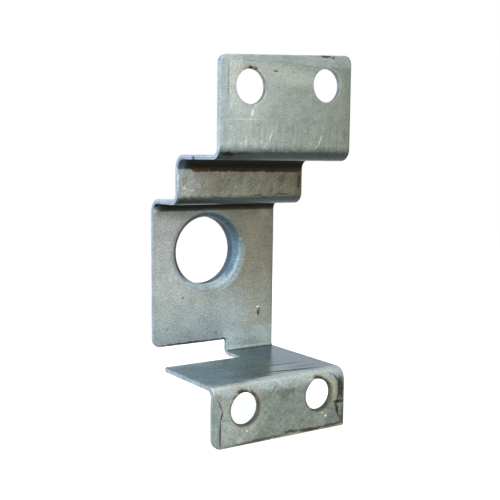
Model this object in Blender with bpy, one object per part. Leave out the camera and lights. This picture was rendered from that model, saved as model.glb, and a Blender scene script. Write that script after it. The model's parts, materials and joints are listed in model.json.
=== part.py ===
# Boot lock bracket: one strip of zinc plated steel sheet, pierced and drawn in the flat and then
# folded six times. It is built in that order here: a flat blank with its outline, screw holes and
# drawn lock hole, and then a fold that wraps the blank round its bends.
#
# Metres, Z up. The front faces of both flanges lie in the plane Y = 0 and face -Y. The origin is on
# the upper flange's front face, midway between its two screw holes.

import math

import bmesh
import bpy
from mathutils import Matrix, Vector

mm = 0.001

# The sheet. Its vertical flats keep the full thickness, and the pressing stretches the level ones:
# the two ledges most, the shelf hardly.
sheetThickness = 1.5 * mm
stretchedThickness = 1.25 * mm
shelfThickness = 1.45 * mm
stripWidth = 38.0 * mm
edgeBreak = 0.2 * mm

# Radii inside the folds: the three lips that stand forward, the two folds at the back of the
# ledges, and the tight fold of the neck
lipBendRadius = 1.5 * mm
recessBendRadius = 2.2 * mm
neckBendRadius = 0.5 * mm

# Heights and depths of the flats, each from sharp corner to sharp corner of the face seen from -Y.
# The top edge and its holes are not quite square to the strip: they rise towards the right.
upperFlangeHeight = 24.7 * mm
upperFlangeSlant = 2.3 * mm
upperLedgeDepth = 19.4 * mm
stepHeight = 11.3 * mm
lowerLedgeDepth = 13.0 * mm
plateHeight = 40.9 * mm
lowerFlangeHeight = 15.1 * mm

# Screw holes in the two flanges. The lower pair is punched a little smaller, with its front rims
# rolled in, and its left hole sits a little low.
screwHoleDiameter = 8.0 * mm
lowerHoleDiameter = 7.7 * mm
lowerHoleRim = 0.4 * mm
screwHolePitch = 22.0 * mm
upperHolesBelowTop = 7.2 * mm
upperHolesSideShift = 0.5 * mm
lowerHolesAboveBottom = 9.0 * mm
lowerHolesSlant = 0.4 * mm
lowerHolesSideShift = -0.3 * mm

# Drawn lock hole in the plate: its rounded entry is on the front, its collar stands out behind
lockBoreDiameter = 18.2 * mm
lockEntryRadius = 2.2 * mm
lockCollarDepth = 5.3 * mm
lockCollarWall = 1.1 * mm
lockRootRadius = 0.6 * mm
lockBelowLedge = 13.1 * mm
lockFromLeft = 16.7 * mm

# Slot that frees the shelf from the plate, cut in from the left edge and leaving a neck at the right
neckWidth = 15.5 * mm
slotAboveShelf = 3.0 * mm
slotIntoShelf = 8.3 * mm
shelfOverhang = 1.1 * mm

# Corner radii of the blank
flangeCornerRadius = 2.0 * mm
plateCornerRadius = 2.3 * mm
slotCornerRadius = 0.8 * mm
shelfCornerRadius = 0.4 * mm
lowerLeftCornerRadius = 2.2 * mm
lowerRightCornerRadius = 0.5 * mm

# How finely the round stretches are divided
bendSteps = 8
cornerSteps = 7
screwHoleSteps = 44
lockHoleSteps = 80


# The folded path

# The shelf reaches as far forward as the two ledges reach back, so both flanges share one plane
shelfDepth = upperLedgeDepth + lowerLedgeDepth
down = -math.pi / 2
back = 0.0
forward = -math.pi

# Each flat with its length, its heading, its thickness and the inside radius of the fold after it
flats = [
    ("upperFlange", upperFlangeHeight, down, sheetThickness, lipBendRadius),
    ("upperLedge", upperLedgeDepth, back, stretchedThickness, recessBendRadius),
    ("step", stepHeight, down, sheetThickness, lipBendRadius),
    ("lowerLedge", lowerLedgeDepth, back, stretchedThickness, recessBendRadius),
    ("plate", plateHeight, down, sheetThickness, neckBendRadius),
    ("shelf", shelfDepth, forward, shelfThickness, lipBendRadius),
    ("lowerFlange", lowerFlangeHeight, down, sheetThickness, None),
]


def heading(angle):
    return Vector((math.cos(angle), math.sin(angle)))


def turned(vector, angle):
    return Matrix.Rotation(angle, 2) @ vector


def frontRadius(insideRadius, turn):
    # A left turn has the front face on its outside, a right turn on its inside
    if turn > 0:
        return insideRadius + sheetThickness
    return insideRadius


def planPath():
    # Lists the flats and folds in order along the developed length of the sheet, which is counted
    # on its middle line from the upper flange's top edge. Points are (y, z) on the front face.
    spans = []
    point = Vector((0.0, 0.0))
    length = 0.0
    setbackBefore = 0.0
    for index, (name, size, angle, thickness, insideRadius) in enumerate(flats):
        turn = 0.0
        thicknessAfter = thickness
        setback = 0.0
        if insideRadius is not None:
            turn = flats[index + 1][2] - angle
            thicknessAfter = flats[index + 1][3]
            setback = frontRadius(insideRadius, turn) * math.tan(abs(turn) / 2)
        straight = size - setbackBefore - setback
        spans.append({"name": name, "start": length, "end": length + straight, "point": point,
                      "angle": angle, "turn": 0.0, "centre": None, "cornerAt": length - setbackBefore,
                      "thickness": (thickness, thickness)})
        point = point + heading(angle) * straight
        length += straight
        if turn != 0.0:
            arc = (insideRadius + sheetThickness / 2) * abs(turn)
            side = math.copysign(math.pi / 2, turn)
            centre = point + heading(angle + side) * frontRadius(insideRadius, turn)
            spans.append({"name": name + "Fold", "start": length, "end": length + arc, "point": point,
                          "angle": angle, "turn": turn, "centre": centre, "cornerAt": length,
                          "thickness": (thickness, thicknessAfter)})
            point = centre + turned(point - centre, turn)
            length += arc
        setbackBefore = setback
    return spans


path = planPath()
blankLength = path[-1]["end"]


def along(name, distance):
    # Developed length of a point of a flat, given its distance from the sharp corner before it
    span = next(s for s in path if s["name"] == name)
    return span["cornerAt"] + distance


def folded(length, depth):
    # The (y, z) of a point of the blank: depth is counted from the front face into the sheet, and
    # shrinks where the sheet is stretched thinner
    span = next((s for s in path if length <= s["end"]), path[-1])
    share = (length - span["start"]) / (span["end"] - span["start"])
    before, after = span["thickness"]
    depth *= (before + (after - before) * min(max(share, 0.0), 1.0)) / sheetThickness
    if span["turn"] == 0.0:
        face = span["point"] + heading(span["angle"]) * (length - span["start"])
        return face + heading(span["angle"] + math.pi / 2) * depth
    angle = span["turn"] * share
    face = span["centre"] + turned(span["point"] - span["centre"], angle)
    return face + heading(span["angle"] + angle + math.pi / 2) * depth


# The flat blank: x across the strip from the plate's left edge, y along the developed length,
# z into the sheet from the front face

plateEnd = along("plate", plateHeight - slotAboveShelf)
shelfStart = along("shelf", slotIntoShelf)
neckLeft = stripWidth - neckWidth
blankCorners = [
    (0.0, upperFlangeSlant / 2, flangeCornerRadius),
    (stripWidth, -upperFlangeSlant / 2, flangeCornerRadius),
    (stripWidth, blankLength, lowerRightCornerRadius),
    (-shelfOverhang, blankLength, lowerLeftCornerRadius),
    (-shelfOverhang, shelfStart, shelfCornerRadius),
    (neckLeft, shelfStart, slotCornerRadius),
    (neckLeft, plateEnd, slotCornerRadius),
    (0.0, plateEnd, plateCornerRadius),
]

upperHolesMiddle = Vector((stripWidth / 2 + upperHolesSideShift, upperHolesBelowTop))
lowerHolesMiddle = Vector((stripWidth / 2 + lowerHolesSideShift, blankLength - lowerHolesAboveBottom))
lockCentre = Vector((lockFromLeft, along("plate", lockBelowLedge)))


def outlineLoop(bm, inset, depth):
    # One turn round the blank, with an arc at each corner, drawn in by inset
    points = []
    count = len(blankCorners)
    for index, (x, y, radius) in enumerate(blankCorners):
        corner = Vector((x, y))
        before = corner - Vector(blankCorners[index - 1][:2])
        after = Vector(blankCorners[(index + 1) % count][:2]) - corner
        before.normalize()
        after.normalize()
        turn = math.atan2(before.cross(after), before.dot(after))
        inBefore = Vector((-before.y, before.x))
        inAfter = Vector((-after.y, after.x))
        corner += (inBefore + inAfter) * inset / (1 + inBefore.dot(inAfter))
        side = math.copysign(1.0, turn)
        radius -= side * inset
        centre = corner - before * radius * math.tan(abs(turn) / 2) + inBefore * side * radius
        for step in range(cornerSteps + 1):
            arm = turned(-inBefore * side * radius, turn * step / cornerSteps)
            points.append(centre + arm)
    return [bm.verts.new((p.x, p.y, depth)) for p in points]


def circleLoop(bm, centre, radius, depth, steps):
    angles = [2 * math.pi * step / steps for step in range(steps)]
    return [bm.verts.new((centre.x + radius * math.cos(a), centre.y + radius * math.sin(a), depth))
            for a in angles]


def bridge(bm, loops):
    # Walls of quads between neighbouring loops of equal count
    for upper, lower in zip(loops, loops[1:]):
        count = len(upper)
        for index in range(count):
            following = (index + 1) % count
            bm.faces.new((upper[index], upper[following], lower[following], lower[index]))


def brokenEdge():
    # How far the material steps back at each depth of a sheared wall with its two edges broken
    return [(edgeBreak, 0.0), (0.0, edgeBreak), (0.0, sheetThickness - edgeBreak),
            (edgeBreak, sheetThickness)]


def rolledEdge(roll):
    # The same for a wall whose front edge is rolled in
    rollSteps = 3
    angles = [math.pi / 2 * step / rollSteps for step in range(rollSteps + 1)]
    return [(roll * (1 - math.sin(a)), roll * (1 - math.cos(a))) for a in angles] + brokenEdge()[2:]


def outlineWall(bm):
    loops = [outlineLoop(bm, step, depth) for step, depth in brokenEdge()]
    bridge(bm, loops)
    return loops


def screwHole(bm, centre, diameter, wall):
    loops = [circleLoop(bm, centre, diameter / 2 + step, depth, screwHoleSteps)
             for step, depth in wall]
    bridge(bm, loops)
    return loops


def lockHoleSection():
    # (radius, depth) from the plate's front face, round the entry, down the bore, across the cut
    # rim and back up the outside of the collar to the plate's back face
    bore = lockBoreDiameter / 2
    outside = bore + lockCollarWall
    entrySteps = 9
    rootSteps = 4
    section = []
    for step in range(entrySteps + 1):
        angle = math.pi / 2 * step / entrySteps
        section.append((bore + lockEntryRadius * (1 - math.sin(angle)),
                        lockEntryRadius * (1 - math.cos(angle))))
    section.append((bore, lockCollarDepth - edgeBreak))
    section.append((bore + edgeBreak, lockCollarDepth))
    section.append((outside - edgeBreak, lockCollarDepth))
    section.append((outside, lockCollarDepth - edgeBreak))
    for step in range(rootSteps + 1):
        angle = math.pi / 2 * step / rootSteps
        section.append((outside + lockRootRadius * (1 - math.cos(angle)),
                        sheetThickness + lockRootRadius * (1 - math.sin(angle))))
    return section


def lockHole(bm):
    loops = [circleLoop(bm, lockCentre, radius, depth, lockHoleSteps)
             for radius, depth in lockHoleSection()]
    bridge(bm, loops)
    return loops


def fillFace(bm, loops):
    # Fills the flat of the sheet between its outline and the rims of its holes
    edges = []
    for loop in loops:
        for index, vert in enumerate(loop):
            edges.append(bm.edges.get((vert, loop[index - 1])))
    bmesh.ops.triangle_fill(bm, use_beauty=True, edges=edges, normal=(0, 0, 1))


def makeBlank(bm):
    walls = [outlineWall(bm), lockHole(bm)]
    slant = math.atan2(-upperFlangeSlant, stripWidth)
    for side in (-0.5, 0.5):
        upper = upperHolesMiddle + turned(Vector((side * screwHolePitch, 0.0)), slant)
        lower = lowerHolesMiddle + side * Vector((screwHolePitch, -lowerHolesSlant))
        walls.append(screwHole(bm, upper, screwHoleDiameter, brokenEdge()))
        walls.append(screwHole(bm, lower, lowerHoleDiameter, rolledEdge(lowerHoleRim)))
    fillFace(bm, [loops[0] for loops in walls])
    fillFace(bm, [loops[-1] for loops in walls])
    bmesh.ops.recalc_face_normals(bm, faces=bm.faces[:])


def scoreBends(bm):
    # Cuts the blank's faces at every step of every bend, so that they can follow its curve
    for span in path:
        if span["turn"] == 0.0:
            continue
        for step in range(bendSteps + 1):
            length = span["start"] + (span["end"] - span["start"]) * step / bendSteps
            everything = bm.verts[:] + bm.edges[:] + bm.faces[:]
            bmesh.ops.bisect_plane(bm, geom=everything, dist=1e-7, plane_co=(0, length, 0),
                                   plane_no=(0, 1, 0))


def fold(bm):
    origin = folded(upperHolesMiddle.y, 0.0)
    for vert in bm.verts:
        x, length, depth = vert.co
        place = folded(length, depth)
        vert.co = (x - upperHolesMiddle.x, place.x - origin.x, place.y - origin.y)
    bmesh.ops.recalc_face_normals(bm, faces=bm.faces[:])


def zincPlate():
    material = bpy.data.materials.new("zinc_plated_steel")
    material.use_nodes = True
    shader = material.node_tree.nodes["Principled BSDF"]
    shader.inputs["Base Color"].default_value = (0.30, 0.32, 0.28, 1.0)
    shader.inputs["Metallic"].default_value = 0.8
    shader.inputs["Roughness"].default_value = 0.5
    return material


def clearScene():
    for thing in list(bpy.data.objects):
        bpy.data.objects.remove(thing)


def makeBracket():
    bm = bmesh.new()
    makeBlank(bm)
    scoreBends(bm)
    fold(bm)
    mesh = bpy.data.meshes.new("boot_lock_bracket")
    bm.to_mesh(mesh)
    bm.free()
    mesh.shade_smooth()
    mesh.set_sharp_from_angle(angle=math.radians(28))
    mesh.materials.append(zincPlate())
    bracket = bpy.data.objects.new("boot_lock_bracket", mesh)
    bpy.context.scene.collection.objects.link(bracket)
    return bracket


clearScene()
makeBracket()
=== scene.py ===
import json
import math

import bpy
from mathutils import Matrix, Vector

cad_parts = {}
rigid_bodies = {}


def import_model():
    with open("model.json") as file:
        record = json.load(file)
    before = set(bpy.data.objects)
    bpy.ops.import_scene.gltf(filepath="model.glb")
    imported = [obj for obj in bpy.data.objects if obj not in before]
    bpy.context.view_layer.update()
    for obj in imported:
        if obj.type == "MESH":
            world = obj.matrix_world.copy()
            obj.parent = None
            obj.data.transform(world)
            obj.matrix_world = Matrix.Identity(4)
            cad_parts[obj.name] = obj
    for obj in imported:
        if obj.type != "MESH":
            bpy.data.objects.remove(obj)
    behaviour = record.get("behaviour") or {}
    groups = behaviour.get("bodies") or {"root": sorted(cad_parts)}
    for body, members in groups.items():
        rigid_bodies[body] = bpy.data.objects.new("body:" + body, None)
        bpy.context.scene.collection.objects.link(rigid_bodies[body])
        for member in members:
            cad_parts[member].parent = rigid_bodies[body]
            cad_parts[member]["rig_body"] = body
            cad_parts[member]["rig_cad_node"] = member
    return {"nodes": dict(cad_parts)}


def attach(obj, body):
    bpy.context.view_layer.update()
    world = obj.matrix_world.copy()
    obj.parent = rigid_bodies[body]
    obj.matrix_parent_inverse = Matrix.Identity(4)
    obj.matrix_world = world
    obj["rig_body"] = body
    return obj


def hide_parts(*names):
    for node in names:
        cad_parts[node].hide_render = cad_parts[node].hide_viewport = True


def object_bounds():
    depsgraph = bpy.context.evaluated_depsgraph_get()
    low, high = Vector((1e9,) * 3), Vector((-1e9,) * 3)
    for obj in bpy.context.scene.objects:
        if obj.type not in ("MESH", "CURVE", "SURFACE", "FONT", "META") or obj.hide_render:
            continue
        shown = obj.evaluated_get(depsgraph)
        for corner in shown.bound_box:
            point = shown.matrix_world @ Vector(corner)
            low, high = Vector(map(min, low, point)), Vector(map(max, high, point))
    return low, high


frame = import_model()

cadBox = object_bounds()
mm = 0.001
print("frame loaded:", ", ".join(frame["nodes"]))


# Camera, placed where the photograph was taken from

cameraView = {
    "position": (-122.28, -167.39, -17.41),  # mm, in the bracket's frame
    "yaw": 33.62,  # degrees to the right of +Y
    "pitch": 5.91,  # degrees below the horizon
    "roll": 0.62,
    "lens": 62.6,  # mm, on the sensor below
    "sensor": 36.0,
    "clip": (0.01, 20.0),  # metres
}


def makeCamera(view):
    data = bpy.data.cameras.new("camera")
    data.lens = view["lens"]
    data.sensor_width = view["sensor"]
    data.clip_start, data.clip_end = view["clip"]
    camera = bpy.data.objects.new("camera", data)
    bpy.context.scene.collection.objects.link(camera)
    turn = Matrix.Rotation(math.radians(-view["yaw"]), 4, "Z")
    tilt = Matrix.Rotation(math.radians(90 - view["pitch"]), 4, "X")
    lean = Matrix.Rotation(math.radians(view["roll"]), 4, "Z")
    place = Matrix.Translation(Vector(view["position"]) * mm)
    camera.matrix_world = place @ turn @ tilt @ lean
    bpy.context.scene.camera = camera
    return camera


makeCamera(cameraView)
print("camera in place")


# Node tools: each adds nodes to the tree in hand and gives their output

# How an oval mark fades: nothing is left at out times its size, it is whole within full of the way
# there, and it goes deep mm into the sheet
markFade = {"out": 0.625, "full": 0.64, "deep": 3.0}


class NodeBench:
    def __init__(self, tree):
        self.tree = tree

    def put(self, socket, value):
        if isinstance(value, bpy.types.NodeSocket):
            self.tree.links.new(value, socket)
        elif isinstance(value, tuple) and len(value) == 3 and socket.type == "RGBA":
            socket.default_value = (*value, 1)
        else:
            socket.default_value = value

    def math(self, operation, first, second=0.0, third=0.0, clamp=False):
        node = self.tree.nodes.new("ShaderNodeMath")
        node.operation = operation
        node.use_clamp = clamp
        for socket, value in zip(node.inputs, (first, second, third)):
            self.put(socket, value)
        return node.outputs[0]

    def vector(self, operation, first, second=(0.0, 0.0, 0.0)):
        node = self.tree.nodes.new("ShaderNodeVectorMath")
        node.operation = operation
        self.put(node.inputs[0], first)
        if operation == "SCALE":
            self.put(node.inputs["Scale"], second)
        else:
            self.put(node.inputs[1], second)
        return node.outputs["Value"] if operation == "LENGTH" else node.outputs["Vector"]

    def step(self, value, low, high):
        # 0 at low and 1 at high, smoothly; high may lie below low
        node = self.tree.nodes.new("ShaderNodeMapRange")
        node.interpolation_type = "SMOOTHSTEP"
        self.put(node.inputs["Value"], value)
        falling = high < low
        node.inputs["From Min"].default_value = min(low, high)
        node.inputs["From Max"].default_value = max(low, high)
        node.inputs["To Min"].default_value = 1.0 if falling else 0.0
        node.inputs["To Max"].default_value = 0.0 if falling else 1.0
        return node.outputs["Result"]

    def times(self, *values):
        result = values[0]
        for value in values[1:]:
            result = self.math("MULTIPLY", result, value)
        return result

    def most(self, *values):
        result = values[0]
        for value in values[1:]:
            result = self.math("MAXIMUM", result, value)
        return result

    def span(self, amount, low, high):
        # Low where the amount is 0, high where it is 1
        return self.math("MULTIPLY_ADD", amount, high - low, low)

    def sway(self, noise, amount, around):
        # A value that a noise moves up and down around another
        return self.math("MULTIPLY_ADD", self.math("SUBTRACT", noise, 0.5), amount, around)

    def band(self, value, low, high, soft):
        # 1 between low and high, with soft sides
        return self.times(self.step(value, low - soft / 2, low + soft / 2),
                          self.step(value, high + soft / 2, high - soft / 2))

    def split(self, vector):
        node = self.tree.nodes.new("ShaderNodeSeparateXYZ")
        self.put(node.inputs[0], vector)
        return node.outputs[0], node.outputs[1], node.outputs[2]

    def slanted(self, vector, lean, width, length):
        # Coordinates turned by lean degrees and stretched, for a noise that runs aslant
        node = self.tree.nodes.new("ShaderNodeMapping")
        node.vector_type = "TEXTURE"
        self.put(node.inputs["Vector"], vector)
        node.inputs["Rotation"].default_value = (0.0, 0.0, math.radians(lean))
        node.inputs["Scale"].default_value = (width, length, 1.0)
        return node.outputs["Vector"]

    def place(self, vector, scale=(1.0, 1.0, 1.0), move=(0.0, 0.0, 0.0)):
        node = self.tree.nodes.new("ShaderNodeMapping")
        self.put(node.inputs["Vector"], vector)
        node.inputs["Location"].default_value = move
        node.inputs["Scale"].default_value = scale
        return node.outputs["Vector"]

    def noise(self, vector, scale, detail=3.0, rough=0.55):
        node = self.tree.nodes.new("ShaderNodeTexNoise")
        self.put(node.inputs["Vector"], vector)
        node.inputs["Scale"].default_value = scale
        node.inputs["Detail"].default_value = detail
        node.inputs["Roughness"].default_value = rough
        return node.outputs["Fac"]

    def dots(self, vector, scale, size, share):
        # Scattered round dots with soft rims: size is a dot's part of its cell, share is the part of
        # the cells that have one
        node = self.tree.nodes.new("ShaderNodeTexVoronoi")
        self.put(node.inputs["Vector"], vector)
        node.inputs["Scale"].default_value = scale
        picked = self.tree.nodes.new("ShaderNodeSeparateColor")
        self.put(picked.inputs[0], node.outputs["Color"])
        return self.times(self.step(node.outputs["Distance"], size, size * 0.4),
                          self.step(picked.outputs[0], share + 0.02, share - 0.02))

    def wander(self, vector, scale):
        # A small random vector, -0.5 to 0.5 each way
        node = self.tree.nodes.new("ShaderNodeTexNoise")
        self.put(node.inputs["Vector"], vector)
        node.inputs["Scale"].default_value = scale
        node.inputs["Detail"].default_value = 2.0
        return self.vector("SUBTRACT", node.outputs["Color"], (0.5, 0.5, 0.5))

    def mix(self, amount, first, second, blend="MIX"):
        node = self.tree.nodes.new("ShaderNodeMix")
        node.data_type = "RGBA"
        node.blend_type = blend
        self.put(node.inputs[0], amount)
        self.put(node.inputs[6], first)  # 6, 7 and 2 are the node's colour sockets
        self.put(node.inputs[7], second)
        return node.outputs[2]

    def marks(self, vector, marks):
        # The strongest of a list of soft oval marks
        spots = []
        for mark in marks:
            width, length = mark["size"]
            node = self.tree.nodes.new("ShaderNodeMapping")
            node.vector_type = "TEXTURE"
            self.put(node.inputs["Vector"], vector)
            node.inputs["Location"].default_value = (*mark["at"], 0.0)
            node.inputs["Rotation"].default_value = (0.0, 0.0, math.radians(mark["lean"]))
            node.inputs["Scale"].default_value = (width * markFade["out"], length * markFade["out"],
                                                  markFade["deep"])
            ball = self.tree.nodes.new("ShaderNodeTexGradient")
            ball.gradient_type = "SPHERICAL"
            self.put(ball.inputs[0], node.outputs["Vector"])
            spots.append(self.times(self.step(ball.outputs["Fac"], 0.0, markFade["full"]), mark["strength"]))
        return self.most(*spots)


# Studio: a white backdrop, a pale floor and soft lamps

studio = {
    "floorGap": 0.05,  # mm below the bracket's lowest edge
    "floorSize": 6.0,  # metres
    "floorColour": (0.86, 0.86, 0.86),
    "floorBounce": (0.30, 0.31, 0.32),  # how the floor lights what stands over it
    "floorGlow": 0.68,  # the floor's own white under the bracket, where its shadow stays
    "glowReach": (0.15, 0.60),  # metres from the bracket, where the floor turns into the backdrop
    "fillColour": (0.93, 0.96, 1.0, 1),
    "fillStrength": 0.45,
}

lamps = {
    "keyLamp": {"from": (-0.50, -0.36, 0.34), "size": 0.30, "power": 3.6, "colour": (0.98, 1.0, 0.98)},
    "sideLamp": {"from": (-0.55, 0.20, 0.05), "size": 0.35, "power": 2.2, "colour": (0.72, 0.84, 1.0)},
    "topLamp": {"from": (0.05, -0.05, 0.60), "size": 0.40, "power": 2.0, "colour": (0.94, 0.97, 1.0)},
}


def makeLamp(name, lamp, aim):
    data = bpy.data.lights.new(name, "AREA")
    data.shape = "DISK"
    data.size = lamp["size"]
    data.energy = lamp["power"]
    data.color = lamp["colour"]
    thing = bpy.data.objects.new(name, data)
    bpy.context.scene.collection.objects.link(thing)
    thing.location = aim + Vector(lamp["from"])
    thing.rotation_euler = (-Vector(lamp["from"])).to_track_quat("-Z", "Y").to_euler()
    return thing


def backdropRays(bench):
    # 1 for what sees the backdrop itself: the camera, and what shines or lets light through
    rays = bench.tree.nodes.new("ShaderNodeLightPath")
    seen = bench.math("MAXIMUM", rays.outputs["Is Camera Ray"], rays.outputs["Is Glossy Ray"])
    return bench.math("MAXIMUM", seen, rays.outputs["Is Transmission Ray"])


def makeWorld(settings):
    world = bpy.data.worlds.new("studioWorld")
    world.use_nodes = True
    bpy.context.scene.world = world
    tree = world.node_tree
    tree.nodes.clear()
    bench = NodeBench(tree)
    output = tree.nodes.new("ShaderNodeOutputWorld")
    mix = tree.nodes.new("ShaderNodeMixShader")
    fill = tree.nodes.new("ShaderNodeBackground")
    fill.inputs["Color"].default_value = settings["fillColour"]
    fill.inputs["Strength"].default_value = settings["fillStrength"]
    white = tree.nodes.new("ShaderNodeBackground")
    white.inputs["Color"].default_value = (1, 1, 1, 1)
    white.inputs["Strength"].default_value = 1
    tree.links.new(backdropRays(bench), mix.inputs["Fac"])
    tree.links.new(fill.outputs[0], mix.inputs[1])
    tree.links.new(white.outputs[0], mix.inputs[2])
    tree.links.new(mix.outputs[0], output.inputs["Surface"])


def floorMaterial(settings):
    material = bpy.data.materials.new("paleFloor")
    material.use_nodes = True
    tree = material.node_tree
    bench = NodeBench(tree)
    tree.nodes.remove(tree.nodes["Principled BSDF"])
    output = tree.nodes["Material Output"]
    where = tree.nodes.new("ShaderNodeTexCoord").outputs["Object"]
    reach = bench.step(bench.vector("LENGTH", where), *settings["glowReach"])
    paint = tree.nodes.new("ShaderNodeBsdfDiffuse")
    bench.put(paint.inputs["Color"], bench.mix(reach, settings["floorColour"], (0.0, 0.0, 0.0)))
    glow = tree.nodes.new("ShaderNodeEmission")
    bench.put(glow.inputs["Strength"], bench.math("MULTIPLY_ADD", reach, 1 - settings["floorGlow"],
                                                  settings["floorGlow"]))
    seen = tree.nodes.new("ShaderNodeAddShader")
    tree.links.new(paint.outputs[0], seen.inputs[0])
    tree.links.new(glow.outputs[0], seen.inputs[1])
    bounce = tree.nodes.new("ShaderNodeBsdfDiffuse")
    bounce.inputs["Color"].default_value = (*settings["floorBounce"], 1)
    mix = tree.nodes.new("ShaderNodeMixShader")
    tree.links.new(backdropRays(bench), mix.inputs["Fac"])
    tree.links.new(bounce.outputs[0], mix.inputs[1])
    tree.links.new(seen.outputs[0], mix.inputs[2])
    tree.links.new(mix.outputs[0], output.inputs["Surface"])
    return material


def makeFloor(settings, low):
    bpy.ops.mesh.primitive_plane_add(size=settings["floorSize"],
                                     location=(0, 0, low.z - settings["floorGap"] * mm))
    floor = bpy.context.object
    floor.name = "floor"
    floor.data.materials.append(floorMaterial(settings))
    return floor


low, high = cadBox
middle = (low + high) / 2
makeWorld(studio)
makeFloor(studio, low)
for name, lamp in lamps.items():
    makeLamp(name, lamp, middle)
bpy.context.scene.view_settings.view_transform = "Standard"
print("studio lit")


# Bracket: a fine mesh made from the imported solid, so that its edges are worn round

dressing = {
    "node": "boot_lock_bracket",
    "mergeWithin": 0.001,  # mm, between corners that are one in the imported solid
    "voxel": 0.21,  # mm, the fine mesh's grain
    "kept": 0.30,  # part of its faces that stays after the flats are thinned out
    "ripple": 0.05,  # mm, how far the sheet's faces wander
    "rippleLength": 9.0,
    # The lower flange's left border, pushed back from a crooked crease
    "crease": {
        "depth": 0.22,
        "below": -69.9,  # z from which down it is pressed
        "reach": 3.5,  # y to which it is pressed
        "knee": (-18.3, -77.6),  # (x, z) where the crease comes furthest in
        "top": (1.7, -71.0),  # (mm further out, z) of its upper end
        "foot": (0.7, -84.2),
        "soft": 2.0,
        "fadeIn": (70.0, 74.0),  # mm down
    },
    # A knock in the upper ledge's left edge
    "knock": {"depth": 0.25, "at": (11.7, -16.2), "size": (1.0, 0.45), "fade": (0.3, 1.2),
              "edge": (-19.4, -18.9)},
    # The slot's inner corner, torn a little when it was sheared
    "notch": {"depth": 0.25, "at": (3.2, -66.5), "fade": (0.5, 1.5), "plate": (29.0, 32.0)},
}

# The front face's path from the upper flange's top edge down, (y, z) in mm: each flat's end, then
# the fold's radius and whether the sheet turns back or down there
frontPath = [
    {"to": (0.0, -14.5), "radius": 3.0, "turn": 90},
    {"to": (17.2, -17.5), "radius": 2.2, "turn": -90},
    {"to": (19.4, -25.8), "radius": 3.0, "turn": 90},
    {"to": (30.2, -28.8), "radius": 2.2, "turn": -90},
    {"to": (32.4, -69.2), "radius": 0.5, "turn": -90},
    {"to": (3.0, -69.7), "radius": 3.0, "turn": 90},
    {"to": (0.0, -90.0), "radius": 0.0, "turn": 0},
]


topEnd = 10.0  # mm above the screw holes' level, where the path starts
foldSteps = 12  # points round each fold


def pathPoints(path):
    # Points along the front face, at its flats' ends and round its folds, with the length up to
    # each. The length is 0 level with the upper screw holes and grows downwards.
    points = [(0.0, topEnd), (0.0, 0.0)]
    heading = -90.0
    for leg in path:
        points.append(leg["to"])
        if not leg["radius"]:
            continue
        side = heading + math.copysign(90, leg["turn"])
        cy = leg["to"][0] + leg["radius"] * math.cos(math.radians(side))
        cz = leg["to"][1] + leg["radius"] * math.sin(math.radians(side))
        for count in range(1, foldSteps + 1):
            angle = math.radians(side + 180 + leg["turn"] * count / foldSteps)
            points.append((cy + leg["radius"] * math.cos(angle), cz + leg["radius"] * math.sin(angle)))
        heading += leg["turn"]
    lengths = [-topEnd]
    for one, two in zip(points, points[1:]):
        lengths.append(lengths[-1] + math.dist(one, two))
    return points, lengths


def selectOnly(thing):
    if bpy.context.object and bpy.context.object.mode != "OBJECT":
        bpy.ops.object.mode_set(mode="OBJECT")
    bpy.ops.object.select_all(action="DESELECT")
    thing.select_set(True)
    bpy.context.view_layer.objects.active = thing


def between(value, low, high):
    # 0 at low and 1 at high, smoothly, as the node tools' step
    share = min(max((value - low) / (high - low), 0.0), 1.0)
    return share * share * (3 - 2 * share)


def press(piece, name, weightAt, direction, amount):
    # Moves the points along an axis, by amount times the weight that weightAt gives for a place in mm
    group = piece.vertex_groups.new(name=name)
    for vertex in piece.data.vertices:
        weight = weightAt(vertex.co / mm)
        if weight > 0.001:
            group.add([vertex.index], weight, "REPLACE")
    push = piece.modifiers.new(name, "DISPLACE")
    push.vertex_group = name
    push.direction = direction
    push.mid_level = 0.0
    push.strength = amount * mm
    bpy.ops.object.modifier_apply(modifier=push.name)
    piece.vertex_groups.remove(piece.vertex_groups[name])


def creaseWeight(place):
    crease = dressing["crease"]
    if place.z > crease["below"] or place.y > crease["reach"]:
        return 0.0
    kneeX, kneeZ = crease["knee"]
    further, end = crease["top"] if place.z > kneeZ else crease["foot"]
    line = kneeX - further * between(place.z, kneeZ, end)
    return between(line - place.x, 0.0, crease["soft"]) * between(-place.z, *crease["fadeIn"])


def knockWeight(place):
    knock = dressing["knock"]
    y, z = knock["at"]
    reach = math.hypot((place.y - y) / knock["size"][0], (place.z - z) / knock["size"][1])
    return (1 - between(reach, *knock["fade"])) * (1 - between(place.x, *knock["edge"]))


def notchWeight(place):
    notch = dressing["notch"]
    x, z = notch["at"]
    reach = math.hypot(place.x - x, place.z - z)
    return (1 - between(reach, *notch["fade"])) * between(place.y, *notch["plate"])


def stripPlaces(piece, path):
    # Keeps for each point where it lies on the folded strip: mm across it, mm along its front face,
    # and mm in from that face
    points, lengths = pathPoints(path)
    places = []
    for vertex in piece.data.vertices:
        x, y, z = vertex.co / mm
        y -= dressing["crease"]["depth"] * creaseWeight(vertex.co / mm)  # as before it was pressed
        best = None
        for index, (one, two) in enumerate(zip(points, points[1:])):
            dy, dz = two[0] - one[0], two[1] - one[1]
            size = dy * dy + dz * dz
            share = min(max(((y - one[0]) * dy + (z - one[1]) * dz) / size, 0.0), 1.0)
            oy, oz = y - one[0] - dy * share, z - one[1] - dz * share
            away = oy * oy + oz * oz
            if best is None or away < best[0]:
                inward = math.copysign(math.sqrt(away), oz * dy - oy * dz)
                best = (away, lengths[index] + math.sqrt(size) * share, inward)
        places.extend((x, best[1], best[2]))
    strip = piece.data.attributes.new("strip", "FLOAT_VECTOR", "POINT")
    strip.data.foreach_set("vector", places)


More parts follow.
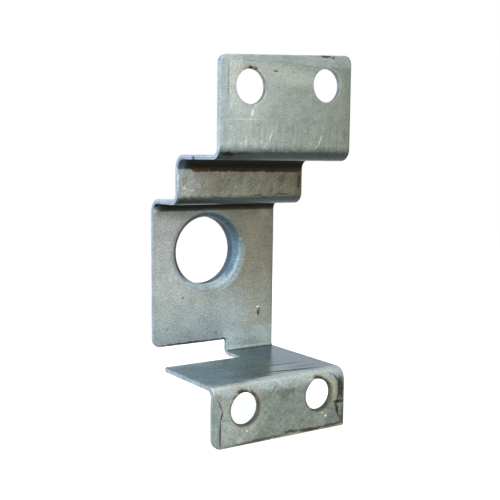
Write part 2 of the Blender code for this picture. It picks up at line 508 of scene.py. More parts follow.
def wornBracket(settings):
    selectOnly(frame["nodes"][settings["node"]])
    bpy.ops.object.duplicate()
    piece = bpy.context.object
    piece.name = "wornBracket"
    piece.parent = None
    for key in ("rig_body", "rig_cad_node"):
        if key in piece:
            del piece[key]
    bpy.ops.object.mode_set(mode="EDIT")
    bpy.ops.mesh.select_all(action="SELECT")
    bpy.ops.mesh.remove_doubles(threshold=settings["mergeWithin"] * mm)
    bpy.ops.object.mode_set(mode="OBJECT")
    fine = piece.modifiers.new("fineMesh", "REMESH")
    fine.mode = "VOXEL"
    fine.voxel_size = settings["voxel"] * mm
    bpy.ops.object.modifier_apply(modifier=fine.name)
    press(piece, "crease", creaseWeight, "Y", settings["crease"]["depth"])
    press(piece, "knock", knockWeight, "X", settings["knock"]["depth"])
    press(piece, "notch", notchWeight, "Z", settings["notch"]["depth"])
    waves = bpy.data.textures.new("sheetWaves", "CLOUDS")
    waves.noise_scale = settings["rippleLength"] * mm
    ripple = piece.modifiers.new("ripple", "DISPLACE")
    ripple.texture = waves
    ripple.texture_coords = "LOCAL"
    ripple.mid_level = 1.0  # only inwards
    ripple.strength = settings["ripple"] * mm
    bpy.ops.object.modifier_apply(modifier=ripple.name)
    thin = piece.modifiers.new("thin", "DECIMATE")
    thin.ratio = settings["kept"]
    bpy.ops.object.modifier_apply(modifier=thin.name)
    bpy.ops.object.shade_smooth()
    weighted = piece.modifiers.new("weighted", "WEIGHTED_NORMAL")
    weighted.keep_sharp = False
    bpy.ops.object.modifier_apply(modifier=weighted.name)
    stripPlaces(piece, frontPath)
    return piece


bracket = wornBracket(dressing)
print("fine mesh:", len(bracket.data.polygons), "faces")


# Zinc plate: dull passivated steel with handling marks, stained where dirt has lain, with much light and
# shade painted into its colour

zincLook = {
    "zinc": (0.315, 0.355, 0.325),
    "paleZinc": (0.450, 0.497, 0.480),
    "borderZinc": (0.368, 0.420, 0.430),
    "leftBorder": (0.410, 0.475, 0.485),
    "leanShade": (0.205, 0.240, 0.228),
    "warmZinc": (0.180, 0.180, 0.138),
    "stepPale": (0.350, 0.362, 0.345),
    "stepShade": (0.214, 0.211, 0.162),
    "brownZinc": (0.135, 0.128, 0.085),
    "plateLeft": (0.350, 0.364, 0.357),
    "plateRight": (0.202, 0.193, 0.147),
    "plateLow": (0.355, 0.418, 0.435),
    "plateLowRight": (0.255, 0.270, 0.240),
    "neckZinc": (0.405, 0.465, 0.455),
    "neckLeft": (0.620, 0.720, 0.730),
    "lowerZinc": (0.168, 0.190, 0.166),
    "lowerLeft": (0.325, 0.347, 0.316),
    "ledgeShade": (0.085, 0.090, 0.080),
    "shelfZinc": (0.126, 0.208, 0.225),
    "shelfLeft": (0.205, 0.325, 0.405),
    "shelfRight": (0.052, 0.120, 0.177),
    "darkTeal": (0.078, 0.125, 0.145),
    # The lock hole's painted blue reflection, painted highlights and shade
    "blueReflection": (0.136, 0.218, 0.278),
    "paleBlueHighlight": (0.470, 0.610, 0.720),
    "boreBlue": (0.090, 0.128, 0.180),
    "holeTeal": (0.100, 0.150, 0.178),
    "lowFlareHighlight": (0.600, 0.730, 0.800),
    "holeShade": (0.070, 0.068, 0.060),
    # Painted shade on the undersides and lips of the folds that bend down
    "bendShade": (0.031, 0.044, 0.038),
    "lowBendShade": (0.042, 0.052, 0.045),
    "bendLipShade": (0.006, 0.009, 0.008),
    "lowBendLipShade": (0.046, 0.057, 0.051),
    "bendHighlight": (0.430, 0.485, 0.490),
    # Bluish partly in painted light from the left
    "cutEdge": (0.350, 0.410, 0.510),
    "cutLine": (0.210, 0.250, 0.290),
    "lowCut": (0.250, 0.275, 0.280),
    "holeWall": (0.165, 0.180, 0.190),
    "lowHoleWall": (0.135, 0.124, 0.090),
    # Nearly black: painted shade in the hollow folds, and the blackest marks
    "shadeAndGrime": (0.004, 0.004, 0.002),
    "brownShadeAndGrime": (0.026, 0.027, 0.016),
    "tealFoldShade": (0.022, 0.030, 0.028),
    "brownFoldShade": (0.036, 0.026, 0.011),
    "orangeStreak": (0.105, 0.052, 0.013),
    "stainAndShade": (0.045, 0.037, 0.020),
    "tan": (0.340, 0.300, 0.190),
    "nickAndShade": (0.026, 0.030, 0.024),
    "shine": (0.800, 0.800, 0.680),
    "metallic": 0.8,
    "roughness": 0.42,
    "specular": 0.2,
    "speckle": 1.05,  # how strongly the grain of the plating shows
    "bump": 0.6,
    "bumpHeight": 0.03,  # mm
    "ragged": (0.9, 0.9),  # how finely and how far the stains' borders wander
}

# Screw holes and the lock hole's axis, (mm across, mm along)
screwHoles = [(-10.98, 0.66), (10.98, -0.66), (-11.8, 134.83), (10.2, 134.43)]
lockAxis = (-2.8, 69.83)

# Marks left by the press, by hands and by dirt, and a few of painted shade

streakPast = 1.15  # a streak's mark is this many times as long as the way it goes


def oval(across, along, width, length, lean, strength):
    return {"at": (across, along), "size": (width, length), "lean": lean, "strength": strength}


def streak(one, two, width, strength):
    # A mark drawn from one place to another, a little past both
    across, along = two[0] - one[0], two[1] - one[1]
    return {"at": ((one[0] + two[0]) / 2, (one[1] + two[1]) / 2),
            "size": (width, math.hypot(across, along) * streakPast),
            "lean": math.degrees(math.atan2(-across, along)), "strength": strength}


darkMarks = [
    # Upper flange
    oval(-4.3, -3.2, 1.5, 0.55, 12, 0.8), oval(0.8, -3.3, 0.6, 0.5, 0, 0.55),
    oval(6.5, 10.1, 0.6, 0.5, 0, 0.4), oval(12.8, -7.4, 0.5, 1.1, 15, 0.9),
    oval(10.6, -7.5, 4.4, 0.5, 0, 0.9), oval(14.2, -5.9, 3.4, 0.4, 28, 0.3),
    oval(13.4, -4.9, 2.6, 0.6, 8, 0.3), oval(15.2, 9.8, 0.5, 0.4, 0, 0.5),
    # The marks at 15.5 to 16 mm along paint more shade on the first fold's underside
    oval(-12.0, 16.0, 5.0, 0.8, 2, 0.4), oval(-3.0, 15.6, 7.0, 0.5, 0, 0.2),
    oval(8.0, 15.5, 8.0, 0.5, 1, 0.15), oval(-17.3, 0.0, 0.45, 9.5, 0, 0.42),
    oval(-12.2, -5.15, 10.0, 0.35, 0, 0.22), oval(-2.5, -5.3, 9.0, 0.3, 0, 0.2),
    streak((2.0, -5.2), (8.5, -4.6), 0.35, 0.25),
    # A knock in the upper ledge's left edge
    oval(-19.2, 28.1, 1.6, 1.7, 0, 0.75),
    # Step
    oval(-17.9, 40.4, 0.35, 4.6, 3, 0.4), oval(11.8, 39.5, 3.4, 2.2, -35, 0.22),
    oval(-15.0, 44.2, 1.2, 0.4, 5, 0.6), oval(4.0, 43.6, 3.0, 0.4, 0, 0.5),
    oval(-8.0, 44.0, 4.0, 0.4, 0, 0.5), oval(12.0, 43.4, 5.0, 0.4, 0, 0.5),
    # Plate
    oval(-4.6, 66.2, 0.5, 0.4, 0, 0.3), oval(-10.6, 82.0, 0.6, 0.6, 0, 0.6),
    oval(-2.0, 85.8, 0.35, 0.35, 0, 0.5), oval(-0.3, 92.2, 0.7, 0.9, 10, 0.7),
    oval(0.9, 94.0, 0.5, 0.8, 0, 0.5), oval(13.4, 88.0, 0.8, 1.7, -12, 0.85),
    streak((-17.5, 94.2), (2.2, 94.2), 0.6, 0.9), streak((1.6, 93.9), (2.7, 94.5), 0.9, 0.9),
    # Of the next two, the one at 18.3 mm across is a painted shade line down the plate's right edge
    streak((2.6, 94.3), (2.8, 97.2), 0.4, 0.5), streak((18.3, 58.0), (18.3, 92.0), 0.35, 0.45),
    # Shelf
    streak((-4.5, 123.2), (12.5, 125.9), 1.1, 0.9), streak((-16.5, 123.8), (-3.0, 123.4), 1.0, 0.6),
    streak((-14.0, 121.6), (0.0, 121.9), 0.9, 0.25), streak((-3.8, 117.3), (12.1, 119.2), 1.3, 0.5),
    streak((2.5, 114.8), (9.0, 115.2), 0.6, 0.3), streak((6.0, 122.3), (16.0, 123.0), 0.6, 0.4),
    streak((1.5, 124.4), (13.5, 126.4), 1.8, 0.45), streak((3.5, 98.9), (17.0, 98.7), 0.5, 0.4),
    # Lower flange
    streak((-4.2, 132.0), (-2.7, 130.5), 0.4, 0.5), oval(-1.2, 131.5, 0.5, 1.4, 20, 0.3),
    streak((2.1, 131.4), (2.4, 133.4), 0.6, 0.35), oval(3.0, 126.0, 14.0, 0.45, 0, 0.5),
    streak((15.5, 137.2), (16.3, 139.9), 1.0, 0.9), streak((12.5, 138.3), (15.5, 138.8), 0.4, 0.3),
    # The first mark here is painted shade at the lower flange's right edge
    oval(17.9, 139.8, 1.1, 4.4, 0, 0.4), streak((16.3, 139.6), (17.6, 142.4), 0.6, 0.6),
    streak((-18.3, 136.7), (-15.4, 137.1), 0.35, 0.35), oval(-13.0, 137.9, 0.6, 0.5, 0, 0.4),
    oval(11.5, 139.6, 0.5, 0.5, 0, 0.5), oval(13.2, 139.8, 0.5, 0.4, 0, 0.5),
    oval(6.0, 137.6, 0.5, 0.4, 0, 0.4), oval(4.3, 139.0, 0.6, 0.4, 0, 0.35),
]
paleMarks = [
    oval(-10.7, 6.6, 0.8, 1.9, 15, 1.0), oval(-9.9, 5.2, 0.3, 0.7, 10, 0.7),
    oval(-5.6, 12.2, 0.28, 3.6, 22, 0.55), oval(-7.1, 14.1, 0.25, 1.8, 32, 0.45),
    oval(9.0, 12.7, 0.28, 3.6, 26, 0.6), oval(7.9, 14.2, 0.3, 0.9, 35, 0.5),
    oval(-16.3, 5.0, 0.35, 2.2, 3, 0.45), oval(-16.6, 2.2, 0.4, 0.5, 0, 0.5),
    oval(-10.5, 12.6, 0.4, 0.7, 0, 0.5), oval(-7.5, 14.6, 0.6, 0.4, 0, 0.4),
    streak((-17.6, 8.3), (-8.1, 8.0), 0.35, 0.35), oval(-8.0, 13.4, 0.8, 1.6, 0, 0.25),
    oval(-12.4, 13.2, 1.1, 2.6, 5, 0.3), oval(-16.6, -3.0, 0.3, 8.0, 0, 0.12),
    oval(-17.6, 41.6, 1.5, 0.9, 0, 0.5), oval(-2.5, 41.5, 1.8, 0.25, 60, 0.3),
    oval(-13.2, 41.1, 1.6, 0.2, 65, 0.4), oval(2.2, 38.6, 0.8, 0.4, 20, 0.25),
    oval(-19.3, 40.0, 0.5, 6.0, 0, 0.3), oval(-16.0, 42.2, 2.2, 0.7, 0, 0.3),
    oval(13.4, 86.3, 1.1, 0.5, -15, 0.8), oval(-3.6, 87.2, 0.4, 0.4, 0, 0.6),
    oval(-14.6, 76.8, 0.4, 0.4, 0, 0.4), oval(7.3, 67.0, 0.6, 0.45, 0, 0.7),
    oval(11.0, 97.0, 15.0, 0.5, 0, 0.5), oval(-12.0, 136.8, 0.4, 0.4, 0, 0.3),
    oval(-11.3, 140.2, 0.8, 0.5, 0, 0.5), oval(12.4, 140.2, 0.9, 0.5, 0, 0.5),
    oval(11.3, 139.3, 0.6, 0.4, 0, 0.5), oval(-12.0, 129.2, 1.0, 0.5, 0, 0.5),
    oval(15.2, 133.4, 1.3, 6.0, -5, 0.04), streak((-17.0, -8.0), (15.0, -6.6), 0.35, 0.15),
]
stainAndShadeMarks = [
    oval(-11.3, -3.5, 1.7, 1.1, 0, 0.95), oval(-10.0, -3.4, 1.4, 0.7, 20, 0.6),
    oval(-12.6, -3.1, 1.4, 0.6, -25, 0.4), oval(-12.4, 130.5, 3.6, 1.5, 5, 0.95),
    oval(-9.6, 131.2, 2.6, 1.0, 40, 0.7), oval(-14.8, 131.6, 1.8, 0.8, -45, 0.5),
    oval(10.2, 130.0, 3.6, 1.2, 8, 0.85), oval(12.7, 131.1, 2.6, 0.9, 45, 0.5),
    streak((-16.5, 143.2), (0.0, 142.9), 0.8, 0.6), streak((-0.5, 142.4), (4.0, 142.6), 0.8, 0.75),
    streak((4.0, 142.7), (12.0, 142.9), 0.9, 0.85), streak((11.0, 142.8), (18.4, 142.6), 0.9, 0.7),
    oval(17.6, 141.6, 1.6, 2.0, 0, 0.45), oval(17.3, 40.0, 1.4, 5.0, 0, 0.5),
    oval(17.9, 36.8, 1.8, 0.8, 0, 0.5), oval(13.7, 87.4, 1.6, 2.2, -12, 0.3),
    # The first streak here is painted shade at the lower flange's right edge
    streak((16.8, 130.6), (17.5, 136.4), 2.0, 0.92), streak((15.6, 136.9), (18.4, 137.2), 1.2, 0.7),
    oval(-0.5, 132.5, 6.0, 3.5, 35, 0.15), oval(15.4, 140.0, 6.0, 5.0, 0, 0.18),
]
tanMarks = [
    oval(-11.3, -3.6, 5.5, 2.2, 0, 0.55), oval(-8.0, -2.2, 2.2, 3.4, 35, 0.35),
    oval(-14.2, -2.0, 1.8, 3.2, -35, 0.25), oval(-12.2, 130.0, 6.5, 2.4, 5, 0.45),
    oval(-8.2, 132.2, 2.0, 3.6, 35, 0.40), oval(10.6, 129.6, 6.0, 2.0, 8, 0.45),
    oval(14.6, 133.0, 2.4, 6.0, 0, 0.40), streak((-16.0, 143.4), (17.5, 143.4), 0.7, 0.45),
    oval(12.6, 139.4, 3.5, 1.4, -20, 0.35), oval(14.0, 136.5, 3.0, 2.0, 0, 0.3),
    oval(14.6, 60.0, 5.0, 2.2, 0, 0.3), oval(12.8, 86.6, 1.6, 1.8, -12, 0.5),
]
# Painted shade along the lower flange's two creases, and a crack across its right edge, the fifth streak
creaseMarks = [
    streak((13.6, 129.2), (15.2, 130.0), 0.45, 0.6), streak((15.0, 129.8), (16.3, 131.7), 0.60, 0.8),
    streak((16.3, 131.4), (16.8, 134.4), 0.80, 0.9), streak((16.8, 134.0), (16.0, 137.0), 0.80, 0.9),
    streak((13.4, 136.8), (18.6, 137.2), 0.32, 0.95), streak((-19.5, 131.3), (-18.1, 134.7), 0.36, 0.8),
    streak((-18.0, 134.4), (-18.7, 136.8), 0.50, 0.95), streak((-18.7, 136.6), (-18.8, 143.2), 0.50, 0.95),
    streak((-19.3, 137.0), (-19.3, 143.0), 0.25, 0.3),
]
# The blackest spots
deepMarks = [
    oval(-16.9, 16.3, 4.8, 1.3, 2, 0.95), oval(-13.6, 16.2, 3.0, 0.7, 0, 0.5),
    oval(16.0, 136.9, 1.9, 0.9, 5, 0.85), oval(16.2, 139.6, 0.8, 1.8, -12, 0.6),
    streak((1.4, 93.9), (2.7, 94.5), 0.8, 0.8),
]
# Broad pale and dull patches
hazeMarks = [
    oval(-2.0, -2.2, 22.0, 5.0, 2, 0.20), oval(-9.0, 5.0, 8.0, 3.0, 0, 0.10),
    oval(-15.5, -1.0, 5.0, 13.0, 0, 0.20), oval(-14.0, 2.0, 4.0, 9.0, 0, 0.10),
    oval(-12.5, -3.5, 9.0, 2.4, 0, 0.13), oval(-9.0, 138.5, 9.0, 5.0, 0, 0.05),
    oval(-7.6, 134.5, 2.6, 6.0, 0, 0.05),
]


class Sheet:
    # Where a point lies on the folded sheet, and tones laid over it by place. The places are mm
    # across the strip, mm along its front face and mm deep; the ragged ones wander a little; sideways,
    # downwards and fromLock are taken from the lock hole's axis, and fromHole from the nearest screw
    # hole's. Borders by slant run down to the right, as two in the upper hollow fold do.
    def __init__(self, bench, strip, look):
        self.bench = bench
        self.strip = strip
        self.look = look
        fineness, wanderBy = look["ragged"]
        shift = bench.vector("SCALE", bench.wander(strip, fineness), wanderBy)
        self.ragged = bench.vector("ADD", strip, shift)
        across, along, depth = bench.split(strip)
        raggedAcross, raggedAlong = bench.split(self.ragged)[:2]
        toLock = self.toAxis(lockAxis)
        sideways, downwards = bench.split(toLock)[:2]
        fromHole = None
        for hole in screwHoles:
            reach = bench.vector("LENGTH", self.toAxis(hole))
            fromHole = reach if fromHole is None else bench.math("MINIMUM", fromHole, reach)
        self.places = {
            "across": across, "along": along, "depth": depth,
            "raggedAcross": raggedAcross, "raggedAlong": raggedAlong,
            "steepSlant": bench.math("MULTIPLY_ADD", raggedAlong, -1.9, raggedAcross),
            "slant": bench.math("MULTIPLY_ADD", raggedAlong, -1.05, raggedAcross),
            "sideways": sideways, "downwards": downwards,
            "fromLock": bench.vector("LENGTH", toLock), "fromHole": fromHole,
        }
        self.made = {}  # limits already built, so that tones with the same one share its nodes

    def toAxis(self, axis):
        return self.bench.place(self.strip, (1, 1, 0), (-axis[0], -axis[1], 0))

    def where(self, share=1.0, **limits):
        # A limit of two numbers is 0 at the first place and 1 at the second. One of three is 1 between
        # the first two, with sides as soft as the third. They are multiplied, and the share with them.
        values = []
        for name, limit in limits.items():
            if (name, limit) not in self.made:
                shape = self.bench.band if len(limit) == 3 else self.bench.step
                self.made[name, limit] = shape(self.places[name], *limit)
            values.append(self.made[name, limit])
        return self.bench.times(*values) if share == 1.0 else self.bench.times(*values, share)

    def lay(self, colour, tone, share=1.0, **limits):
        return self.bench.mix(self.where(share, **limits), colour, self.look[tone])

    def marked(self, marks, depth, crisp=False):
        # Where a list of marks lies, with ragged borders unless it is crisp
        return self.bench.times(self.bench.marks(self.strip if crisp else self.ragged, marks),
                                self.where(depth=depth))


# Stretches that several tones share: mm along, and how soft the ends are
shelf = (97.6, 127.6, 1.2)
hollowFolds = [(32.0, 36.2, 0.6), (54.0, 57.6, 0.5)]
shadedFolds = [(32.0, 36.8, 0.8), (54.0, 58.3, 0.5)]
ledges = [(19.5, 34.0, 1.0), (48.0, 56.0, 1.0)]
lowerFlange = (127.5, 132.0)

# Depths in the sheet, mm
frontHalf = (1.0, 0.5)
skin = (0.32, 0.12)  # the front face alone

# The two folds that bend down: where painted shade on their undersides begins and ends, and their lip that
# looks to the floor, in painted shade of its own
bends = [
    {"paintedShade": (13.6, 16.0), "end": (20.6, 19.6), "tone": "bendShade",
     "lip": (17.1, 18.6, 0.9), "lipTone": "bendLipShade"},
    {"paintedShade": (42.9, 44.4), "end": (49.9, 48.9), "tone": "lowBendShade",
     "lip": (46.4, 47.9, 0.9), "lipTone": "lowBendLipShade"},
]


def sheetTones(sheet):
    # The sheet's broad tones, flat by flat, with much light and shade painted in: paler to the left, darker
    # to the right and under the ledges
    bench, look = sheet.bench, sheet.look
    # Painted light: paler to the left, darker and warmer to the right
    colour = sheet.lay(look["zinc"], "paleZinc", across=(2.0, -17.0))
    colour = sheet.lay(colour, "warmZinc", 0.42, across=(0.0, 18.0))
    colour = sheet.lay(colour, "leftBorder", 0.7, raggedAcross=(-17.1, -17.5), along=(16.0, 14.0))
    colour = sheet.lay(colour, "borderZinc", 0.6, raggedAlong=(-4.8, -5.4), across=(-17.5, -16.0))
    colour = sheet.lay(colour, "brownZinc", 0.10, along=(7.5, 15.5, 4.0))

    # The step, set back under the upper ledge, in painted shade: paler to the left, darker and browner to the
    # right
    stepTone = sheet.lay(look["stepShade"], "stepPale", raggedAcross=(-9.0, -18.5))
    stepTone = sheet.lay(stepTone, "brownZinc", 0.85, raggedAcross=(0.0, 16.0))
    colour = bench.mix(sheet.where(raggedAlong=(35.5, 44.0, 1.0)), colour, stepTone)

    # The plate in painted light and shade: darker and warmer at its top right under the ledges, paler low and
    # to the left
    lowTone = sheet.lay(look["plateLow"], "plateLowRight", across=(3.0, 14.0))
    plateTone = bench.mix(sheet.where(along=(72.0, 92.0)), look["plateRight"], lowTone)
    plateTone = sheet.lay(plateTone, "plateLeft", 0.9, across=(8.0, -14.0), along=(92.0, 78.0))
    plateTone = sheet.lay(plateTone, "paleZinc", 0.35, across=(-2.0, -12.0), along=(62.0, 78.0))
    neckTone = sheet.lay(look["neckZinc"], "neckLeft", across=(11.0, 5.0))
    plateTone = bench.mix(sheet.where(along=(90.5, 94.0), across=(0.0, 4.0)), plateTone, neckTone)
    colour = bench.mix(sheet.where(along=(56.5, 97.5, 0.6)), colour, plateTone)

    # The shelf's teal is partly a painted reflection of bluish light from above
    shelfTone = sheet.lay(look["shelfZinc"], "shelfLeft", raggedAcross=(-4.0, -13.0))
    shelfTone = sheet.lay(shelfTone, "shelfRight", raggedAcross=(2.0, 10.0))
    colour = bench.mix(sheet.where(along=shelf), colour, shelfTone)

    # The lower flange, paler to the left in painted light
    colour = sheet.lay(colour, "lowerZinc", along=lowerFlange)
    colour = sheet.lay(colour, "lowerLeft", 0.55, along=lowerFlange, across=(-4.0, -15.0))
    # Painted shade on the ledges' undersides
    for ledge in ledges:
        colour = sheet.lay(colour, "ledgeShade", along=ledge, depth=frontHalf)
    return bench.mix(sheet.marked(hazeMarks, depth=(0.5, 0.2)), colour, look["shine"])


def foldTones(sheet, colour):
    # The folds that bend down get painted shade underneath, the hollow ones nearly black painted shade, and
    # the one at the shelf's front a painted highlight
    bench, look = sheet.bench, sheet.look
    for bend in bends:
        colour = sheet.lay(colour, bend["tone"], raggedAlong=bend["paintedShade"], along=bend["end"], depth=frontHalf)
        colour = sheet.lay(colour, bend["lipTone"], 0.6, along=bend["lip"], depth=frontHalf)
    # Brown painted shade in the upper hollow fold, with a slanted left end, and an orange streak along its
    # lower border
    colour = sheet.lay(colour, "brownFoldShade", raggedAlong=(35.7, 37.6, 0.4), steepSlant=(-86.6, -85.6),
                       depth=frontHalf)
    colour = sheet.lay(colour, "orangeStreak", 0.8, raggedAlong=(36.8, 37.5, 0.5),
                       raggedAcross=(-15.2, -10.5, 1.6), depth=frontHalf)

    # Brown painted shade below the lower hollow fold, fading out down the plate, more on its left
    moreLeft = bench.span(sheet.where(across=(2.0, -11.0)), 0.25, 0.47)
    under = bench.times(moreLeft, sheet.where(along=(62.5, 58.4)),
                        sheet.where(along=(56.0, 57.0), across=(-19.0, -17.4), depth=frontHalf))
    colour = bench.mix(under, colour, look["brownShadeAndGrime"])
    # Brown painted shade along the lower hollow fold's lower border, but for its left end
    colour = sheet.lay(colour, "brownShadeAndGrime", along=(56.0, 58.88, 0.4), across=(-18.3, -16.6), depth=frontHalf)
    # Nearly black painted shade in the hollow folds
    for fold in hollowFolds:
        colour = sheet.lay(colour, "shadeAndGrime", 0.98, along=fold, depth=frontHalf)

    # The left ends of the hollow folds, their painted shade turned teal by painted bluish light from the left
    upperEnd = sheet.lay(look["tealFoldShade"], "darkTeal", raggedAcross=(-16.6, -18.2))
    colour = bench.mix(sheet.where(along=(32.8, 37.0, 0.6), slant=(-53.4, -54.6), depth=frontHalf),
                       colour, upperEnd)
    lowerEnd = sheet.lay(look["tealFoldShade"], "darkTeal", across=(-17.0, -18.6))
    colour = bench.mix(sheet.where(0.8, along=(55.6, 59.0, 1.8), across=(-18.6, -16.8, 1.2), depth=frontHalf),
                       colour, lowerEnd)
    # A painted highlight along the shelf's front fold
    colour = sheet.lay(colour, "bendHighlight", 0.8, along=(126.8, 131.0, 2.0), depth=frontHalf)
    # Painted shade along the fold between the plate and the shelf, right of the middle
    return sheet.lay(colour, "bendShade", 0.6, along=(97.7, 99.0, 0.6), across=(2.0, 3.0))


def lockHoleTones(sheet, colour):
    # Painted light and shade in the lock hole: dark on its left, a painted blue reflection where it looks to
    # the left, painted highlights palest low on its right, with soft borders; gives the colour and where the
    # drawn metal lies
    bench, look = sheet.bench, sheet.look
    blueTone = sheet.lay(look["holeTeal"], "blueReflection", downwards=(-7.0, 0.0))
    blueTone = sheet.lay(blueTone, "paleBlueHighlight", 0.9, downwards=(-4.6, 3.6), sideways=(-2.0, 5.0),
                         depth=(1.0, 0.1))
    blueTone = sheet.lay(blueTone, "lowFlareHighlight", 0.9, downwards=(5.5, 9.5), depth=(3.0, 1.6))
    blueTone = sheet.lay(blueTone, "holeShade", sideways=(1.0, -5.0), downwards=(7.5, 3.5))
    # A painted dark line where the entry's curve meets the bore
    blueTone = sheet.lay(blueTone, "bendShade", 0.5, depth=(2.7, 3.2, 0.3))
    blueTone = sheet.lay(blueTone, "boreBlue", depth=(3.1, 3.4))
    behind = sheet.where(depth=(1.1, 1.3), fromLock=(9.75, 9.95))
    flare = bench.times(sheet.where(depth=(-0.1, 0.45), fromLock=(11.7, 11.4)),
                        bench.math("SUBTRACT", 1.0, behind))
    halo = sheet.where(0.4, fromLock=(12.2, 11.2), sideways=(1.0, 7.0), depth=(1.1, 0.6))
    return bench.mix(bench.most(flare, halo), colour, blueTone), flare


def edgeTones(sheet, colour):
    # Sheared edges, with the dark line where the shear broke through, and the worn arrises; the edges' bluish
    # tone is partly painted light from the left. Gives the colour and where the arrises lie
    bench, look = sheet.bench, sheet.look
    offLock = (11.5, 11.9)
    sheared = sheet.lay(look["cutEdge"], "cutLine", depth=(0.30, 0.62, 0.2))
    sheared = sheet.lay(sheared, "cutLine", along=(98.0, 99.0))
    sheared = sheet.lay(sheared, "lowCut", along=(129.0, 131.0))
    walls = sheet.lay(look["holeWall"], "lowHoleWall", along=(120.0, 121.0))
    sheared = bench.mix(sheet.where(fromHole=(4.9, 4.5)), sheared, walls)
    # Painted shade on the front part of the right cut edges
    sheared = sheet.lay(sheared, "nickAndShade", across=(17.8, 18.3), depth=(0.5, 0.3))
    colour = bench.mix(sheet.where(depth=(0.14, 1.2, 0.12), fromLock=offLock), colour, sheared)

    folded = bench.most(sheet.where(along=(17.0, 33.8, 0.6)), sheet.where(along=(46.0, 56.4, 0.6)))
    arris = bench.times(sheet.where(depth=(0.07, 0.13)), sheet.where(depth=(0.34, 0.20), fromLock=offLock),
                        bench.math("SUBTRACT", 1.0, folded))
    colour = bench.mix(bench.times(arris, 0.75), colour, look["cutLine"])
    colour = bench.mix(bench.times(arris, sheet.where(0.35, along=(34.0, 38.0))), colour, look["nickAndShade"])
    lowEdges = bench.most(sheet.where(along=(143.0, 143.4)), sheet.where(0.5, along=(129.0, 131.0)),
                          sheet.where(along=(94.0, 95.2, 0.3), across=(3.4, 3.0)))
    colour = bench.mix(bench.times(arris, lowEdges, 0.8), colour, look["stainAndShade"])

    # A fine line beside the left edge, the lower flange's outer corners, and painted shade on its leaning
    # border
    for flat in ((37.0, 46.0, 1.0), (59.0, 94.0, 1.0)):
        colour = sheet.lay(colour, "cutLine", 0.35, across=(-19.2, -18.8, 0.2), along=flat, depth=(0.5, 0.2))
    for corner in ((0.35, 0.15), (1.1, 1.3)):
        colour = sheet.lay(colour, "nickAndShade", 0.8, along=(131.0, 133.0), across=(-20.1, -20.4), depth=corner)
    # Painted shade along the right border of the front face
    dimRight = bench.most(sheet.where(0.65, across=(17.8, 18.4)), sheet.where(0.15, across=(14.5, 18.4)))
    colour = bench.mix(bench.times(dimRight, sheet.where(depth=skin)), colour, look["nickAndShade"])
    colour = sheet.lay(colour, "leanShade", 0.9, raggedAlong=(130.5, 144.5, 1.0), across=(-18.1, -18.6),
                       depth=frontHalf)
    # Painted shade along the lower flange's creases, with its crack
    return bench.mix(sheet.marked(creaseMarks, frontHalf, crisp=True), colour, look["nickAndShade"]), arris


def markTones(sheet, colour):
    # Stains, knocks and rubbed spots, and painted shade at the lower flange's right edge; gives the colour
    # and where the dirt lies
    bench, look = sheet.bench, sheet.look
    colour = bench.mix(sheet.marked(tanMarks, frontHalf), colour, look["tan"])
    rustRims = sheet.where(0.4, fromHole=(4.7, 4.1), along=(120.0, 121.0))
    stained = bench.times(bench.most(bench.marks(sheet.ragged, stainAndShadeMarks), rustRims),
                          sheet.where(depth=(1.6, 0.9)))
    colour = bench.mix(stained, colour, look["stainAndShade"])
    dark = sheet.marked(darkMarks, depth=(1.1, 0.6))
    colour = bench.mix(dark, colour, look["nickAndShade"])
    colour = bench.mix(sheet.marked(deepMarks, depth=(1.1, 0.6)), colour, look["shadeAndGrime"])
    colour = bench.mix(sheet.marked(paleMarks, skin, crisp=True), colour, look["shine"])
    return colour, bench.most(stained, bench.times(dark, 0.8))


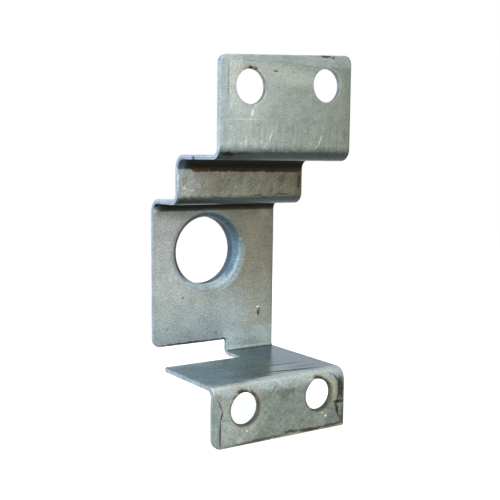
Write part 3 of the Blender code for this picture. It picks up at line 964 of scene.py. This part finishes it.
def grainTones(sheet, colour):
    # Clouds, grain, pits, glints and streaks; gives the colour and the relief that goes with them
    bench, strip = sheet.bench, sheet.strip
    shade = bench.sway(bench.noise(strip, scale=0.22, rough=0.6), 0.55, 1.0)
    mottle = bench.noise(bench.place(strip, move=(0, 0, 50)), scale=0.85, detail=2.0, rough=0.6)
    shade = bench.sway(mottle, bench.span(sheet.where(along=(127.0, 132.0)), 0.35, 0.95), shade)

    speckle = bench.noise(strip, scale=2.4, detail=1.0, rough=0.7)
    coarse = bench.span(sheet.where(along=(32.0, 36.0)), 0.72, 1.22)  # coarser below the upper flange
    coarse = bench.math("MULTIPLY_ADD", sheet.where(along=(127.0, 131.0)), -0.22, coarse)
    grain = bench.sway(speckle, bench.times(coarse, sheet.look["speckle"]), 1.0)
    pits = bench.dots(strip, scale=1.15, size=0.24, share=0.42)
    grain = bench.math("SUBTRACT", grain, bench.times(pits, 0.42))
    glints = bench.dots(bench.place(strip, move=(20, 30, 0)), scale=1.0, size=0.22, share=0.30)
    grain = bench.math("MULTIPLY_ADD", glints, 0.30, grain)

    # The step is scratched aslant and rubbed, and it and the upper flange's foot have pressed streaks
    onStep = sheet.where(along=(36.5, 44.0, 1.0))
    scored = bench.noise(bench.slanted(strip, lean=38, width=0.28, length=3.0), 1.0, 2.0, 0.5)
    scratches = bench.times(bench.step(scored, 0.56, 0.68), bench.span(onStep, 0.05, 0.27))
    gouges = bench.times(bench.step(scored, 0.42, 0.32), bench.span(onStep, 0.05, 0.30))
    shade = bench.math("ADD", shade, bench.math("SUBTRACT", scratches, gouges))
    rubbed = bench.noise(bench.slanted(strip, lean=28, width=2.0, length=7.0), 1.0, 2.0, 0.5)
    shade = bench.sway(rubbed, bench.times(onStep, 0.6), shade)
    drawn = bench.noise(bench.place(strip, (1.3, 0.16, 1)), 1.0, 3.0, 0.6)
    streaky = bench.most(sheet.where(along=(9.0, 15.5, 3.0)), onStep)
    pressed = bench.sway(drawn, bench.times(streaky, bench.span(onStep, 1.0, 0.55)), 0.0)
    shade = bench.times(shade, grain, bench.span(pressed, 1.0, 1.9))

    # Rolling lines across the shelf
    rolled = bench.noise(bench.place(strip, (0.07, 1.7, 1)), 1.0, 3.0, 0.6)
    shelfLines = bench.sway(rolled, sheet.where(along=shelf), 0.0)
    shade = bench.times(shade, bench.span(shelfLines, 1.0, 2.9))
    grey = bench.tree.nodes.new("ShaderNodeCombineXYZ")
    for socket in grey.inputs:
        bench.put(socket, shade)
    colour = bench.mix(1.0, colour, grey.outputs[0], "MULTIPLY")

    # The plating's faint hues
    tint = bench.noise(bench.place(strip, move=(0, 90, 0)), scale=0.7, rough=0.75)
    hues = bench.tree.nodes.new("ShaderNodeValToRGB")
    stops = hues.color_ramp.elements
    stops[0].position, stops[0].color = 0.36, (1.06, 0.98, 0.95, 1)
    stops[1].position, stops[1].color = 0.64, (0.96, 0.99, 1.05, 1)
    stops.new(0.5).color = (0.99, 1.02, 0.98, 1)
    bench.put(hues.inputs[0], tint)
    colour = bench.mix(1.0, colour, hues.outputs[0], "MULTIPLY")
    height = bench.math("MULTIPLY_ADD", pressed, 0.8, bench.times(speckle, 0.4))
    return colour, bench.math("MULTIPLY_ADD", shelfLines, 0.5, height)


def zincPlate(look):
    material = bpy.data.materials.new("zincPlate")
    material.use_nodes = True
    tree = material.node_tree
    bench = NodeBench(tree)
    shader = tree.nodes["Principled BSDF"]
    attribute = tree.nodes.new("ShaderNodeAttribute")
    attribute.attribute_name = "strip"
    strip = attribute.outputs["Vector"]
    sheet = Sheet(bench, strip, look)
    colour = foldTones(sheet, sheetTones(sheet))
    colour, drawnMetal = lockHoleTones(sheet, colour)
    colour, arris = edgeTones(sheet, colour)
    colour, dirt = markTones(sheet, colour)
    colour, height = grainTones(sheet, colour)
    bench.put(shader.inputs["Base Color"], colour)

    # Dirt, the folds in painted shade and the arrises are rough and no metal; the neck and the drawn metal
    # shine less, and the shelf is smoothest
    inFolds = [sheet.where(along=fold, depth=frontHalf) for fold in shadedFolds]
    dirt = bench.most(dirt, *inFolds, bench.times(arris, 0.7), sheet.where(0.7, depth=(1.7, 2.6)))
    neck = sheet.where(0.7, along=(92.5, 97.8, 2.0), depth=frontHalf)
    unlikeMetal = bench.most(dirt, neck, bench.times(drawnMetal, 0.55))
    likeMetal = bench.math("SUBTRACT", 1.0, unlikeMetal)
    bench.put(shader.inputs["Metallic"], bench.times(likeMetal, look["metallic"]))
    fleck = bench.noise(bench.place(strip, move=(40, 0, 0)), scale=1.1, detail=2.0)
    rough = bench.sway(fleck, 0.25, look["roughness"])
    rough = bench.math("SUBTRACT", rough, sheet.where(0.18, along=shelf))
    rough = bench.math("MULTIPLY_ADD", drawnMetal, 0.12, rough)
    rough = bench.math("MULTIPLY_ADD", dirt, 0.45, rough, clamp=True)
    bench.put(shader.inputs["Roughness"], rough)
    shader.inputs["Specular IOR Level"].default_value = look["specular"]
    bump = tree.nodes.new("ShaderNodeBump")
    bump.inputs["Strength"].default_value = look["bump"]
    bump.inputs["Distance"].default_value = look["bumpHeight"] * mm
    bench.put(bump.inputs["Height"], height)
    tree.links.new(bump.outputs["Normal"], shader.inputs["Normal"])
    return material

bracket.data.materials.clear()
bracket.data.materials.append(zincPlate(zincLook))
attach(bracket, "root")
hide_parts(dressing["node"])
print("bracket finished")
